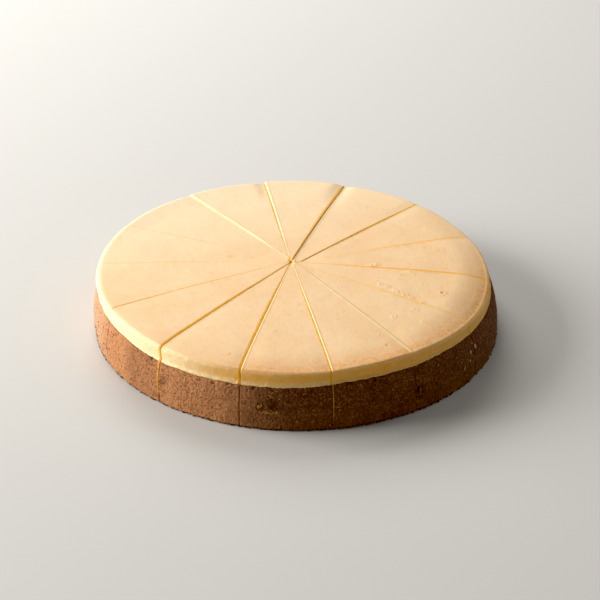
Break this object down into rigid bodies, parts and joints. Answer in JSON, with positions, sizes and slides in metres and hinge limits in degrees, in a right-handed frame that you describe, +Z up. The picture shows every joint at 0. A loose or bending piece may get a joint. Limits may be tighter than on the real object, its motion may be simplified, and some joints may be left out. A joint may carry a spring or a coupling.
{
  "type": "baked cheesecake",
  "caption": "Round baked cheesecake with a pressed crumb crust round its base and side, cut through into equal slices that still stand together.",
  "frame": {"origin": "centre of the cake's footprint, on the flat base that it stands on", "axes": "+Z up through the cake's thickness, -Y towards the front of the cake as the picture shows it, +X to the right"},
  "size_m": [0.2557, 0.2549, 0.0397],
  "materials": {
    "baked_filling": "smooth satin baked skin, pale gold, paler and creamier on its cut faces and side band",
    "crumb_crust": "rough matt pressed biscuit crumb, golden to dark brown"
  },
  "bodies": {
    "root": {"filling_01": "baked_filling", "filling_02": "baked_filling", "filling_03": "baked_filling", "filling_04": "baked_filling", "filling_05": "baked_filling", "filling_06": "baked_filling", "filling_07": "baked_filling", "filling_08": "baked_filling", "filling_09": "baked_filling", "filling_10": "baked_filling", "filling_11": "baked_filling", "filling_12": "baked_filling", "filling_13": "baked_filling", "filling_14": "baked_filling", "crust_01": "crumb_crust", "crust_02": "crumb_crust", "crust_03": "crumb_crust", "crust_04": "crumb_crust", "crust_05": "crumb_crust", "crust_06": "crumb_crust", "crust_07": "crumb_crust", "crust_08": "crumb_crust", "crust_09": "crumb_crust", "crust_10": "crumb_crust", "crust_11": "crumb_crust", "crust_12": "crumb_crust", "crust_13": "crumb_crust", "crust_14": "crumb_crust"}
  },
  "joints": []
}
